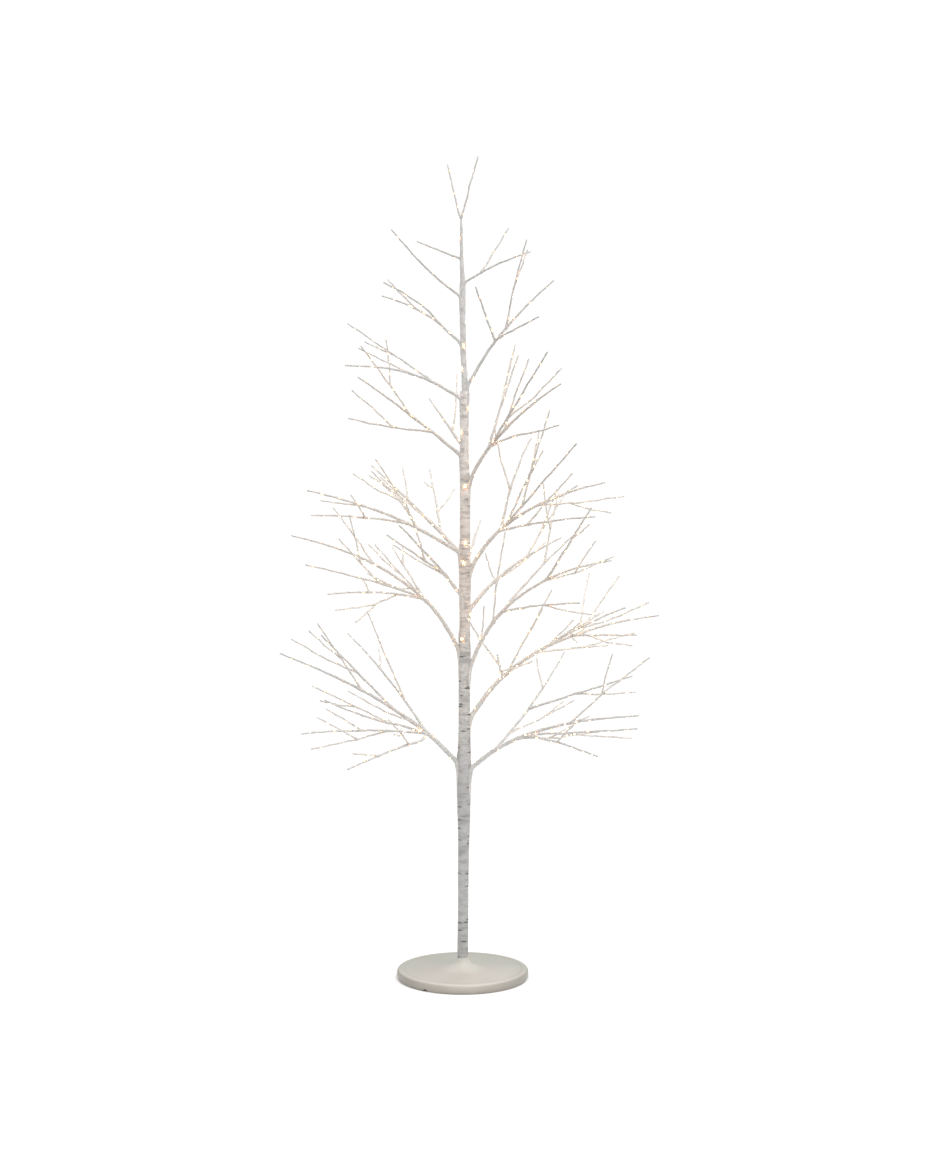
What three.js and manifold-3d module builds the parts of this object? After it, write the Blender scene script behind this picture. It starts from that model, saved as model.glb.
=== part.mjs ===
// A two metre artificial birch tree with lights, standing on a round moulded base.
// Millimetres, +Z up, +X to the right and -Y towards the viewer. The origin is the centre of the
// base's flat underside. The trunk is a paper-wrapped pole in two lengths, and every bough is a
// paper-wrapped wire that leaves it. Each bough and each limb on a bough is one tapering solid.
import * as THREE from "three";
import { mergeVertices } from "three/addons/utils/BufferGeometryUtils.js";
import Module from "manifold-3d";

const wasm = await Module();
wasm.setup();

// ---------------------------------------------------------------- driving dimensions
const GAP = 0.3; // between pieces that touch, because meshes hold 32-bit numbers
const EMBED = 1.2; // how far a cutting tool runs past the face it cuts

const BASE_RADIUS = 160;
const BASE_RIM_HEIGHT = 22;
const BASE_EDGE_ROUND = 6; // the rim's soft top edge
const BASE_TUCK = 4; // the rim's foot draws in by this much
const BASE_DISH = 1; // the top falls this much from the rim to the groove
const BASE_GROOVE_RADIUS = 142;
const BOSS_TOP_HEIGHT = 48;
const BOSS_TOP_RADIUS = 14;
const BOSS_FOOT_RADIUS = 52;
const BASE_SIDES = 44;

const CORD_NOTCH = { x: -88, width: 9, height: 6, depth: 24 };

const TRUNK_FOOT = BOSS_TOP_HEIGHT + GAP;
const TRUNK_JOINT = 1430; // the slim upper pole plugs in here
const TRUNK_FORK = 1852;
const TREE_HEIGHT = 2000;

// [height, radius] of the trunk, which swells where bough wires are bound in
const TRUNK_GIRTH = [
  [TRUNK_FOOT, 12.8],
  [330, 13.1],
  [430, 15.2],
  [520, 15.7],
  [600, 13.4],
  [1040, 12.8],
  [1180, 12.2],
  [1250, 10.6],
  [TRUNK_JOINT, 10],
];
const POLE_GIRTH = [
  [TRUNK_JOINT, 6.2],
  [1660, 5.8],
  [1750, 4.7],
  [1830, 4],
  [TRUNK_FORK, 2.8],
];
// [height, offset to the right] of the trunk's centre line, a slow bow
const TRUNK_BOW = [
  [0, 0],
  [430, 2.7],
  [920, 5.1],
  [1165, 5.6],
  [TRUNK_JOINT, 4],
  [1655, -0.5],
  [TRUNK_FORK, -4.1],
];

const TRUNK_SIDES = 14;
const BOUGH_SIDES = 7;
const LIMB_SIDES = 6;
const BOUGH_STEP = 55; // length of one straight stretch
// [height on the trunk, radius] of the boughs and limbs at their roots, which thin towards the top
const BOUGH_ROOT_RADIUS = [
  [480, 5.2],
  [1050, 4.8],
  [1450, 4],
  [1760, 3],
];
const LIMB_ROOT_RADIUS = [
  [480, 2.9],
  [1050, 2.8],
  [1760, 2.2],
];
const TIP_RADIUS = 1.6;
const TAPER = 0.85; // under 1, a limb thins faster near its root
const STRAIGHT = [0.5, 0.5];

// Every bough: the height of its root on the trunk, its bearing (turn: 0 right, 90 away from the
// viewer, 180 left), how far out it reaches and how far it rises. elbow is the curve's control
// point, as shares of reach and rise. Its limbs leave it at a share of its length.
const BOUGHS = [
  {
    name: "bough_01", height: 499, turn: 188, reach: 446, rise: 293, elbow: [0.25, 0.55],
    limbs: [
      { name: "upper", share: 0.44, turn: 166, reach: 182, rise: 175 },
      { name: "back", share: 0.25, turn: 123, reach: 400, rise: 230, elbow: [0.42, 0.55] },
      { name: "side", share: 0.27, turn: 198, reach: 244, rise: 78, elbow: [0.55, 0.3] },
      { name: "front", share: 0.245, turn: 211, reach: 335, rise: 16, elbow: [0.5, 1.4] },
      { name: "low", share: 0.215, turn: 243, reach: 390, rise: -34, elbow: [0.4, 0.1] },
    ],
  },
  {
    name: "bough_02", height: 482, turn: 346, reach: 428, rise: 164, elbow: [0.23, 0.87],
    limbs: [
      { name: "front", share: 0.4, turn: 297, reach: 330, rise: -16, elbow: [0.4, -0.4] },
      { name: "side", share: 0.42, turn: 329, reach: 288, rise: 28, elbow: [0.5, 0.4] },
      { name: "back", share: 0.22, turn: 60, reach: 390, rise: 226, elbow: [0.55, 0.4] },
      { name: "upper", on: "back", share: 0.45, turn: 355, reach: 262, rise: 84 },
    ],
  },
  {
    name: "bough_03", height: 599, turn: 12, reach: 500, rise: 281, elbow: [0.21, 0.84],
    limbs: [
      { name: "side", share: 0.62, turn: 322, reach: 182, rise: 4 },
      { name: "low", share: 0.29, turn: 329, reach: 322, rise: 166, elbow: [0.45, 0.62] },
      { name: "back", on: "low", share: 0.45, turn: 64, reach: 325, rise: 66 },
      { name: "front", share: 0.27, turn: 267, reach: 380, rise: 74 },
    ],
  },
  {
    name: "bough_04", height: 702, turn: 341, reach: 368, rise: 312, elbow: [0.16, 0.86],
    limbs: [
      { name: "back", share: 0.4, turn: 38, reach: 237, rise: 196, elbow: [0.42, 0.5] },
      { name: "front", share: 0.68, turn: 289, reach: 262, rise: 158 },
      { name: "low", share: 0.42, turn: 311, reach: 259, rise: 22, elbow: [0.45, 0.8] },
    ],
  },
  {
    name: "bough_05", height: 738, turn: 170, reach: 438, rise: 342, elbow: [0.11, 0.74],
    limbs: [
      { name: "side", share: 0.37, turn: 206, reach: 303, rise: 78, elbow: [0.4, 0.55] },
      { name: "low", share: 0.36, turn: 239, reach: 396, rise: 14, elbow: [0.45, 1.9] },
      { name: "back", share: 0.35, turn: 106, reach: 360, rise: 140 },
    ],
  },
  {
    name: "bough_06", height: 867, turn: 40, reach: 324, rise: 212, elbow: [0.18, 0.52],
    limbs: [],
  },
  {
    name: "bough_07", height: 919, turn: 237, reach: 275, rise: 173, elbow: [0.42, 0.5],
    limbs: [{ name: "side", share: 0.36, turn: 208, reach: 148, rise: 87 }],
  },
  {
    name: "bough_08", height: 963, turn: 355, reach: 341, rise: 241, elbow: [0.2, 0.77],
    limbs: [
      { name: "back", share: 0.36, turn: 58, reach: 150, rise: 236, elbow: [0.35, 0.6] },
      { name: "upper", share: 0.38, turn: 325, reach: 206, rise: 192 },
      { name: "low", share: 0.35, turn: 330, reach: 256, rise: 28, elbow: [0.45, 0.8] },
    ],
  },
  {
    name: "bough_09", height: 1024, turn: 187, reach: 383, rise: 160, elbow: [0.39, 0.69],
    limbs: [
      { name: "back", share: 0.33, turn: 121, reach: 252, rise: 143, elbow: [0.35, 0.65] },
      { name: "front", share: 0.38, turn: 220, reach: 284, rise: 12, elbow: [0.4, 1.4] },
    ],
  },
  {
    name: "bough_10", height: 1020, turn: 131, reach: 375, rise: 252, elbow: [0.4, 0.45],
    limbs: [
      { name: "back", share: 0.25, turn: 97, reach: 286, rise: 180, elbow: [0.45, 0.55] },
    ],
  },
  { name: "bough_11", height: 1000, turn: 82, reach: 300, rise: 128, limbs: [] },
  {
    name: "bough_12", height: 1177, turn: 332, reach: 256, rise: 254, elbow: [0.18, 0.55],
    limbs: [
      { name: "upper", share: 0.34, turn: 48, reach: 115, rise: 242, elbow: [0.4, 0.45] },
      { name: "front", share: 0.37, turn: 307, reach: 213, rise: 200 },
      { name: "low", share: 0.43, turn: 317, reach: 195, rise: 18, elbow: [0.5, 0.1] },
    ],
  },
  {
    name: "bough_13", height: 1263, turn: 164, reach: 277, rise: 212, elbow: [0.46, 0.52],
    limbs: [
      { name: "low", share: 0.32, turn: 218, reach: 242, rise: 14, elbow: [0.5, -0.2] },
    ],
  },
  { name: "bough_14", height: 1288, turn: 112, reach: 248, rise: 154, limbs: [] },
  {
    name: "bough_15", height: 1397, turn: 194, reach: 294, rise: 84, elbow: [0.32, 1.1],
    limbs: [
      { name: "back", share: 0.27, turn: 152, reach: 255, rise: 168 },
    ],
  },
  {
    name: "bough_16", height: 1421, turn: 350, reach: 220, rise: 271, elbow: [0.27, 0.52],
    limbs: [
      { name: "low", share: 0.45, turn: 312, reach: 142, rise: 33 },
      { name: "front", share: 0.42, turn: 249, reach: 135, rise: 108 },
    ],
  },
  {
    name: "bough_17", height: 1531, turn: 157, reach: 222, rise: 149, elbow: [0.3, 0.65],
    limbs: [{ name: "front", share: 0.33, turn: 213, reach: 162, rise: 85, elbow: [0.3, 0.6] }],
  },
  { name: "bough_18", height: 1655, turn: 190, reach: 175, rise: 162, elbow: [0.55, 0.42], limbs: [] },
  {
    name: "bough_19", height: 1685, turn: 345, reach: 170, rise: 75, elbow: [0.3, 0.6],
    limbs: [{ name: "upper", share: 0.3, turn: 41, reach: 92, rise: 124 }],
  },
  { name: "bough_20", height: 1751, turn: 131, reach: 172, rise: 75, limbs: [] },
];

const LEADERS = [
  { name: "leader_left", turn: 155, reach: 37, rise: 136 },
  { name: "leader_right", turn: 346, reach: 43, rise: TREE_HEIGHT - TRUNK_FORK, elbow: [0.4, 0.5] },
];
const LEADER_ROOT_RADIUS = 2;

const PAPER = new THREE.MeshStandardMaterial({ color: 0xe6e3df, roughness: 0.85, metalness: 0 });
const BARK_PAPER = new THREE.MeshStandardMaterial({ color: 0xdcdad7, roughness: 0.8, metalness: 0 });
const MOULDED = new THREE.MeshStandardMaterial({ color: 0xd8d2c8, roughness: 0.5, metalness: 0 });

// ---------------------------------------------------------------- helpers
const radians = THREE.MathUtils.degToRad;

// The value at a height in a list of [height, value], smooth between the entries.
function along(list, height) {
  const last = list.length - 1;
  let i = 0;
  while (i < last - 1 && height > list[i + 1][0]) i += 1;
  const [low, from] = list[i];
  const [high, to] = list[i + 1];
  return THREE.MathUtils.lerp(from, to, THREE.MathUtils.smoothstep(height, low, high));
}

function trunkCentre(height) {
  return new THREE.Vector3(along(TRUNK_BOW, height), 0, height);
}

// The vector of a limb: reach along its bearing, and rise.
function outAndUp(turn, reach, rise) {
  return new THREE.Vector3(reach * Math.cos(radians(turn)), reach * Math.sin(radians(turn)), rise);
}

function limbCurve(root, { turn, reach, rise, elbow = STRAIGHT }) {
  const bend = root.clone().add(outAndUp(turn, reach * elbow[0], rise * elbow[1]));
  const tip = root.clone().add(outAndUp(turn, reach, rise));
  return new THREE.QuadraticBezierCurve3(root, bend, tip);
}

// A closed cylinder laid along a curve, with the radius that radiusAt gives for a share of its length.
function wrapped(curve, radiusAt, sides, steps) {
  const geometry = new THREE.CylinderGeometry(1, 1, 1, sides, steps);
  const { normals, binormals } = curve.computeFrenetFrames(steps, false);
  const position = geometry.getAttribute("position");
  const vertex = new THREE.Vector3();
  for (let i = 0; i < position.count; i += 1) {
    vertex.fromBufferAttribute(position, i);
    const ring = Math.round((vertex.y + 0.5) * steps);
    const share = ring / steps;
    const radius = radiusAt(share);
    const point = curve.getPointAt(share);
    point.addScaledVector(normals[ring], vertex.x * radius);
    point.addScaledVector(binormals[ring], -vertex.z * radius);
    position.setXYZ(i, point.x, point.y, point.z);
  }
  return geometry;
}

function solidOf(geometry) {
  const bare = geometry.clone();
  bare.deleteAttribute("normal");
  bare.deleteAttribute("uv");
  const merged = mergeVertices(bare, 1e-3);
  return new wasm.Manifold(
    new wasm.Mesh({
      numProp: 3,
      vertProperties: new Float32Array(merged.getAttribute("position").array),
      triVerts: new Uint32Array(merged.index.array),
    }),
  );
}

function geometryOf(solid) {
  const { vertProperties, triVerts } = solid.getMesh();
  return new THREE.BufferGeometry()
    .setAttribute("position", new THREE.BufferAttribute(vertProperties, 3))
    .setIndex(new THREE.BufferAttribute(triVerts, 1));
}

// What is left of a solid outside the others: the largest piece, because a cut can leave crumbs.
function outside(solid, others) {
  const left = others.reduce((rest, other) => rest.subtract(other), solid);
  return left.decompose().sort((a, b) => b.volume() - a.volume())[0];
}

const tree = new THREE.Group();

function addNode(name, solid, material) {
  const mesh = new THREE.Mesh(geometryOf(solid), material);
  mesh.name = name;
  tree.add(mesh);
}

// ---------------------------------------------------------------- base
function baseProfile() {
  const shape = new THREE.Path();
  const grooveHeight = BASE_RIM_HEIGHT - BASE_DISH;
  shape.moveTo(0, 0);
  shape.lineTo(BASE_RADIUS - BASE_TUCK, 0);
  shape.lineTo(BASE_RADIUS - BASE_TUCK / 4, 3);
  shape.lineTo(BASE_RADIUS, 8);
  shape.lineTo(BASE_RADIUS, BASE_RIM_HEIGHT - BASE_EDGE_ROUND);
  shape.absarc(
    BASE_RADIUS - BASE_EDGE_ROUND, BASE_RIM_HEIGHT - BASE_EDGE_ROUND,
    BASE_EDGE_ROUND, 0, Math.PI / 2, false,
  );
  shape.lineTo(BASE_GROOVE_RADIUS, grooveHeight);
  shape.lineTo(BOSS_FOOT_RADIUS, BASE_RIM_HEIGHT);
  shape.quadraticCurveTo(BOSS_TOP_RADIUS + 6, BASE_RIM_HEIGHT + 4, BOSS_TOP_RADIUS, BOSS_TOP_HEIGHT);
  shape.lineTo(0, BOSS_TOP_HEIGHT);
  return shape.getPoints(4);
}

function cordNotch() {
  const { x, width, height, depth } = CORD_NOTCH;
  const rimFront = -Math.sqrt(BASE_RADIUS ** 2 - x ** 2);
  const tool = new THREE.BoxGeometry(width, depth + 20, height + EMBED);
  tool.translate(x, rimFront + depth / 2 - 10, (height - EMBED) / 2);
  return tool;
}

function makeBase() {
  const disc = new THREE.LatheGeometry(baseProfile(), BASE_SIDES);
  disc.rotateX(Math.PI / 2);
  return solidOf(disc).subtract(solidOf(cordNotch()));
}

addNode("base", makeBase(), MOULDED);

// ---------------------------------------------------------------- trunk
function poleSolid(girth, grow) {
  const foot = girth[0][0];
  const top = girth[girth.length - 1][0] - GAP;
  const steps = Math.round((top - foot) / BOUGH_STEP);
  const heights = Array.from({ length: steps + 1 }, (_, i) => foot + ((top - foot) * i) / steps);
  const line = new THREE.CatmullRomCurve3(heights.map(trunkCentre));
  const radiusAt = (share) => along(girth, foot + (top - foot) * share) + grow;
  return solidOf(wrapped(line, radiusAt, TRUNK_SIDES, steps));
}

addNode("trunk", poleSolid(TRUNK_GIRTH, 0), BARK_PAPER);
addNode("trunk_top", poleSolid(POLE_GIRTH, 0), BARK_PAPER);
const poles = [poleSolid(TRUNK_GIRTH, GAP), poleSolid(POLE_GIRTH, GAP)];

// ---------------------------------------------------------------- boughs
function limbSolid(curve, rootRadius, sides, grow) {
  const steps = Math.max(4, Math.round(curve.getLength() / BOUGH_STEP));
  const radiusAt = (share) => THREE.MathUtils.lerp(rootRadius, TIP_RADIUS, share ** TAPER) + grow;
  return solidOf(wrapped(curve, radiusAt, sides, steps));
}

function addLimb(name, curve, rootRadius, sides, kin) {
  const solid = outside(limbSolid(curve, rootRadius, sides, 0), [...poles, ...kin]);
  addNode(name, solid, PAPER);
  kin.push(limbSolid(curve, rootRadius, sides, GAP));
}

for (const bough of BOUGHS) {
  const kin = [];
  const curves = { bough: limbCurve(trunkCentre(bough.height), bough) };
  const boughRadius = along(BOUGH_ROOT_RADIUS, bough.height);
  const limbRadius = along(LIMB_ROOT_RADIUS, bough.height);
  addLimb(bough.name, curves.bough, boughRadius, BOUGH_SIDES, kin);
  for (const limb of bough.limbs) {
    const parent = curves[limb.on ?? "bough"];
    curves[limb.name] = limbCurve(parent.getPointAt(limb.share), limb);
    addLimb(`${bough.name}_${limb.name}`, curves[limb.name], limbRadius, LIMB_SIDES, kin);
  }
}

const forkKin = [];
for (const leader of LEADERS) {
  const curve = limbCurve(trunkCentre(TRUNK_FORK - 12), { ...leader, rise: leader.rise + 12 });
  addLimb(leader.name, curve, LEADER_ROOT_RADIUS, LIMB_SIDES, forkKin);
}

export default tree;
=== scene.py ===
import math

import bpy
import numpy as np
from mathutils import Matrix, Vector


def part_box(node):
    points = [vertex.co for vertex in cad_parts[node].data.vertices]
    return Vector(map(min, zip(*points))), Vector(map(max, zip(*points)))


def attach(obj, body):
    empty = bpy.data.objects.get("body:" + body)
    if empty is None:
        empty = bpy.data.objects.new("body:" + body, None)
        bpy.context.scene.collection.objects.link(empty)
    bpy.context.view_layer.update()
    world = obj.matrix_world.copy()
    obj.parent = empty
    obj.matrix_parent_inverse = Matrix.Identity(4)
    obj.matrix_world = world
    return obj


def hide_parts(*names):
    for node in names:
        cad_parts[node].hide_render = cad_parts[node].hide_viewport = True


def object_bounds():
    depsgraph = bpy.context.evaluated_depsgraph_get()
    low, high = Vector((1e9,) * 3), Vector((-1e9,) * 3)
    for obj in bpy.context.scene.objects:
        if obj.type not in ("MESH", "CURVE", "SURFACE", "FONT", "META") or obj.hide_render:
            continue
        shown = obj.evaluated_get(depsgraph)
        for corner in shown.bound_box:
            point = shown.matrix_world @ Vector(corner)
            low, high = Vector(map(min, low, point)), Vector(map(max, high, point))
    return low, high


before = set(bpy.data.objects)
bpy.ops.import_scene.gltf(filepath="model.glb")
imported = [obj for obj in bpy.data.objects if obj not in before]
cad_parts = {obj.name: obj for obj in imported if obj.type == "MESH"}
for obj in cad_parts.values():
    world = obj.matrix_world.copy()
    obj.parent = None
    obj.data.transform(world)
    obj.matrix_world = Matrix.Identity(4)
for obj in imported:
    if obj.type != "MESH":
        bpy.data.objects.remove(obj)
cad_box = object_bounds()

# A two metre artificial birch with tiny warm lights, on a round moulded base. The trunk is a steel
# pole under printed bark paper. Its boughs are soft wires wound with white paper tape, and a thin
# pair of wires with resin drops winds along every one of them.
MM = 0.001
CHANCE = np.random.default_rng(650)

BASE_RIM_HEIGHT = 22 * MM
BASE_RADIUS = 160 * MM
BASE_GROOVE_RADIUS = 142 * MM
BASE_DISH = 1 * MM
BASE_SIDES = 128
BOSS_FOOT_RADIUS = 52 * MM
BOSS_TOP_RADIUS = 14 * MM
CORD_NOTCH = {"x": -88 * MM, "width": 9 * MM, "height": 6 * MM, "depth": 24 * MM}

TRUNK_SIDES = 48
TRUNK_RING_STEP = 9 * MM
PAPER_SEAM_HEIGHTS = (0.838, 1.236)  # where two lengths of bark paper meet
BUNDLE_REACH = 0.26  # how far a bough's wires run down inside the trunk's wrap
BUNDLE_LIFT = 2.4 * MM  # and how far they lift the wrap

CAD_SIDES = {"trunk": 14, "bough": 7, "limb": 6}  # the sides of each kind of limb in the frame
CAD_RING_GAP = 12 * MM  # its rings lie further apart than this

# below where a bough leaves the trunk: how far down, and how deep it sits, in its own radii
BOUND_RUN = ((115 * MM, 1.3), (80 * MM, 0.85), (50 * MM, 0.6), (22 * MM, 0.25))
ROOT_SEARCH = 130 * MM  # how far from its first ring a limb's root is looked for
LIMB_SWELL = 1.25  # a wound limb is a little thicker than its wires
BOUGH_SWELL = 1.42  # and a bough, with the wires of all its limbs in it, more so

BOUGH_SIDES = 14
BOUGH_STEP = 4.5 * MM
TWIG_SIDES = 8
TWIG_STEP = 6 * MM
TAPE_PITCH = 11 * MM  # one turn of the paper tape
TAPE_THICKNESS = {"bough": 0.45 * MM, "leader": 0.4 * MM, "twig": 0.3 * MM}
TIP_RADIUS = 1.5 * MM
LIMB_TIP_RADIUS = TIP_RADIUS * 1.1
LIMB_KINK = 1.2 * MM  # how far a hand-bent wire strays from its line
TWIG_KINK = 1.1 * MM
LATE_LIMBS = ("bough_02_upper", "bough_03_back")  # each leaves another limb, so it is made last
# the crown's three zones of paper tape: the height under which a bough's root lies in each
ZONE_TOPS = {"low": 0.55, "middle": 1.35, "high": 2.0}
CROWN_FOOT = 0.53
CROWN_TAPER_HEIGHT = 1.2

TWIG_SPACING = 190 * MM
SPARSE_SPACING = TWIG_SPACING * 2.1
SPARSE_HEIGHT = 1.25  # above this, twigs are fewer
TWIG_LENGTH = 270 * MM
TWIG_ROOT_RADIUS = 2.3 * MM
TWIG_TURN = 2.4  # radians round the limb from one twig to the next
SHORTEST_TWIG = 60 * MM
SPRIG_BEARING_LENGTH = 190 * MM  # a twig longer than this has sprigs
SPRIG_SPACING = 150 * MM
SPRIG_LENGTH = 130 * MM
LIGHT_SPACING = 50 * MM
TRUNK_LIGHT_SPACING = 60 * MM
TRUNK_LIGHT_SIZE = 1.6
TRUNK_LIGHTS_FROM = 0.78
TRUNK_LIGHTS_TO = 1.84
POLE_JOINT_REACH = 40 * MM  # a bough this near above the trunk's top still lifts its wrap
DROP_RADIUS = 2.0 * MM
DIODE_RADIUS = 1.0 * MM
WIRE_RADIUS = 0.35 * MM
WIRE_PITCH = 46 * MM
WIRE_STEP = 6 * MM

FLOOR_SIZE = 2.2
CAMERA_PLACE = (0.008, -3.541, 0.949)
CAMERA_LENS = 44.4  # on a 36 mm long side
WALL_LIGHT = 0.46
CEILING_LIGHT = 1.3
BROAD_LIGHT = 1.4
BROAD_LIGHT_AIM = (-0.6, 0.8, -2.0)


# ---------------------------------------------------------------- camera
def add_camera():
    bpy.ops.object.camera_add(location=CAMERA_PLACE, rotation=(math.radians(90), 0, 0))
    camera = bpy.context.object
    camera.name = "camera"
    camera.data.lens = CAMERA_LENS
    camera.data.sensor_width = 36
    bpy.context.scene.camera = camera


# ---------------------------------------------------------------- colours and nodes
def colour(hex_code):
    """An sRGB hex colour as linear red, green, blue and alpha."""
    parts = [int(hex_code[i : i + 2], 16) / 255 for i in (1, 3, 5)]
    linear = [p / 12.92 if p <= 0.04045 else ((p + 0.055) / 1.055) ** 2.4 for p in parts]
    return (*linear, 1.0)


def node(tree, kind, sockets=None, stops=(), **settings):
    """Adds a node, sets its properties, and sets or links its inputs. A colour ramp is filled from
    its stops, each a place and a hex colour or grey value."""
    made = tree.nodes.new(kind)
    for name, value in settings.items():
        setattr(made, name, value)
    for name, value in (sockets or {}).items():
        socket = made.inputs[name]
        if isinstance(value, bpy.types.NodeSocket):
            tree.links.new(value, socket)
        else:
            socket.default_value = value
    for i, (place, value) in enumerate(stops):
        elements = made.color_ramp.elements
        element = elements[i] if i < len(elements) else elements.new(place)
        element.position = place
        element.color = colour(value) if isinstance(value, str) else (value, value, value, 1)
    return made


def new_material(name):
    material = bpy.data.materials.new(name)
    material.use_nodes = True
    tree = material.node_tree
    tree.nodes.clear()
    shader = node(tree, "ShaderNodeBsdfPrincipled")
    output = node(tree, "ShaderNodeOutputMaterial")
    tree.links.new(shader.outputs["BSDF"], output.inputs["Surface"])
    return material, tree, shader


def tinted(tree, source, stops, ground, hex_code, strength=None):
    """Lays a colour over a ground where a pattern is strong: the pattern through a ramp, times a
    strength if there is one, is the mask."""
    mask = node(tree, "ShaderNodeValToRGB", {"Fac": source}, stops=stops).outputs[0]
    if strength is not None:
        mask = node(tree, "ShaderNodeMath", {0: mask, 1: strength}, operation="MULTIPLY").outputs[0]
    sockets = {0: mask, 6: ground, 7: colour(hex_code)}
    return node(tree, "ShaderNodeMix", sockets, data_type="RGBA").outputs[2]


def relief(tree, shader, fine, broad):
    """Two bumps, one on the other, each a height with its strength and distance."""
    height, strength, distance = fine
    under = node(
        tree, "ShaderNodeBump", {"Height": height, "Strength": strength, "Distance": distance}
    ).outputs[0]
    height, strength, distance = broad
    sockets = {"Height": height, "Strength": strength, "Distance": distance, "Normal": under}
    tree.links.new(node(tree, "ShaderNodeBump", sockets).outputs[0], shader.inputs["Normal"])


def mottled(tree, shader, scale, stops):
    """Colours a whole surface by one noise and a ramp. Gives the noise."""
    place = node(tree, "ShaderNodeTexCoord").outputs["Object"]
    noise = node(tree, "ShaderNodeTexNoise", {"Vector": place, "Scale": scale}).outputs[0]
    tint = node(tree, "ShaderNodeValToRGB", {"Fac": noise}, stops=stops)
    tree.links.new(tint.outputs[0], shader.inputs["Base Color"])
    return noise


def bark_paper():
    """Coated paper, printed with birch bark and wound on a steel pole. The print is pale grey with
    a fine fleck and short dark dashes that run round the trunk. Its tone is set by height: grey near
    the foot, paler and warmer above, partly the paper's own tone and partly painted warm light from
    the tree's lights. The coat has a faint sheen."""
    material, tree, shader = new_material("printed_bark_paper")
    place = node(tree, "ShaderNodeTexCoord").outputs["Object"]
    # the paper's tone by height, over two metres: the paler, warmer tone from about 0.5 m up is partly
    # painted warm light from the tree's lights; the step at the first seam is the paper's own
    upright = node(tree, "ShaderNodeSeparateXYZ", {"Vector": place}).outputs["Z"]
    share = node(tree, "ShaderNodeMath", {0: upright, 1: 0.5}, operation="MULTIPLY").outputs[0]
    tone = node(
        tree,
        "ShaderNodeValToRGB",
        {"Fac": share},
        stops=[
            (0.05, "#BCBDBE"),
            (0.24, "#C1C1C1"),
            (0.3, "#DCDAD7"),
            (0.37, "#E8E4DF"),
            (0.416, "#E7E2DC"),
            (0.421, "#F2E6DC"),
            (0.55, "#F5EAE1"),
            (0.62, "#FFF7F0"),
            (0.72, "#FDF6F1"),
        ],
    ).outputs["Color"]
    # the paper above the first seam is printed fainter
    first_seam = PAPER_SEAM_HEIGHTS[0]
    ink = node(
        tree,
        "ShaderNodeMapRange",
        {
            "Value": upright,
            "From Min": first_seam - MM,
            "From Max": first_seam + MM,
            "To Min": 1.0,
            "To Max": 0.5,
        },
    ).outputs[0]
    # cloudy bands, about 30 mm wide and 9 mm high
    banded = node(tree, "ShaderNodeMapping", {"Vector": place, "Scale": (1, 1, 3.2)}).outputs[0]
    cloud = node(tree, "ShaderNodeTexNoise", {"Vector": banded, "Scale": 34, "Detail": 5}).outputs[0]
    clouds = node(
        tree,
        "ShaderNodeValToRGB",
        {"Fac": cloud},
        stops=[(0.32, "#C8C8C8"), (0.5, "#F3F3F2"), (0.62, "#FFFFFF")],
    ).outputs["Color"]
    ground = node(
        tree,
        "ShaderNodeMix",
        {0: 1.0, 6: tone, 7: clouds},
        data_type="RGBA",
        blend_type="MULTIPLY",
    ).outputs[2]
    # fine fleck, about 5 mm wide and 1 mm high
    level = node(tree, "ShaderNodeMapping", {"Vector": place, "Scale": (1, 1, 5.5)}).outputs[0]
    fleck = node(
        tree, "ShaderNodeTexNoise", {"Vector": level, "Scale": 210, "Detail": 3, "Roughness": 0.7}
    ).outputs[0]
    flecked = tinted(tree, fleck, [(0.46, 0.0), (0.6, 0.8)], ground, "#9B9895", ink)
    # longer streaks, about 13 mm wide and 2.4 mm high
    streak = node(
        tree, "ShaderNodeTexNoise", {"Vector": level, "Scale": 75, "Detail": 3, "Roughness": 0.6}
    ).outputs[0]
    streaked = tinted(tree, streak, [(0.53, 0.0), (0.64, 0.6)], flecked, "#A5A19D", ink)
    # dark dashes, in about a third of the cells of a loose grid, 29 x 29 x 7 mm
    wobble = node(
        tree, "ShaderNodeTexNoise", {"Vector": place, "Scale": 300, "Detail": 3, "Roughness": 0.7}
    ).outputs["Color"]
    bent = node(
        tree,
        "ShaderNodeVectorMath",
        {0: wobble, 1: (0.004, 0.004, 0.0018), 2: place},
        operation="MULTIPLY_ADD",
    ).outputs[0]
    tall = node(tree, "ShaderNodeMapping", {"Vector": bent, "Scale": (1, 1, 4.2)}).outputs[0]
    cells = node(tree, "ShaderNodeTexVoronoi", {"Vector": tall, "Scale": 34, "Randomness": 0.9})
    pick = node(
        tree, "ShaderNodeMath", {0: cells.outputs["Color"], 1: 0.68}, operation="GREATER_THAN"
    ).outputs[0]
    picked_ink = node(tree, "ShaderNodeMath", {0: pick, 1: ink}, operation="MULTIPLY").outputs[0]
    dash_stops = [(0.18, 0.95), (0.24, 0.4), (0.42, 0.0)]
    printed = tinted(tree, cells.outputs["Distance"], dash_stops, streaked, "#4C4A48", picked_ink)
    tree.links.new(printed, shader.inputs["Base Color"])
    # the paper's own tooth, about 1 mm, and the slack of the wrap, about 25 mm
    tooth = node(tree, "ShaderNodeTexNoise", {"Vector": place, "Scale": 900, "Detail": 2}).outputs[0]
    slack = node(tree, "ShaderNodeTexNoise", {"Vector": place, "Scale": 42, "Detail": 2}).outputs[0]
    relief(tree, shader, (tooth, 0.25, 0.15 * MM), (slack, 0.5, 1.2 * MM))
    gloss = node(tree, "ShaderNodeValToRGB", {"Fac": fleck}, stops=[(0.3, 0.5), (0.7, 0.68)])
    tree.links.new(gloss.outputs[0], shader.inputs["Roughness"])
    shader.inputs["IOR"].default_value = 1.5
    return material


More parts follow.
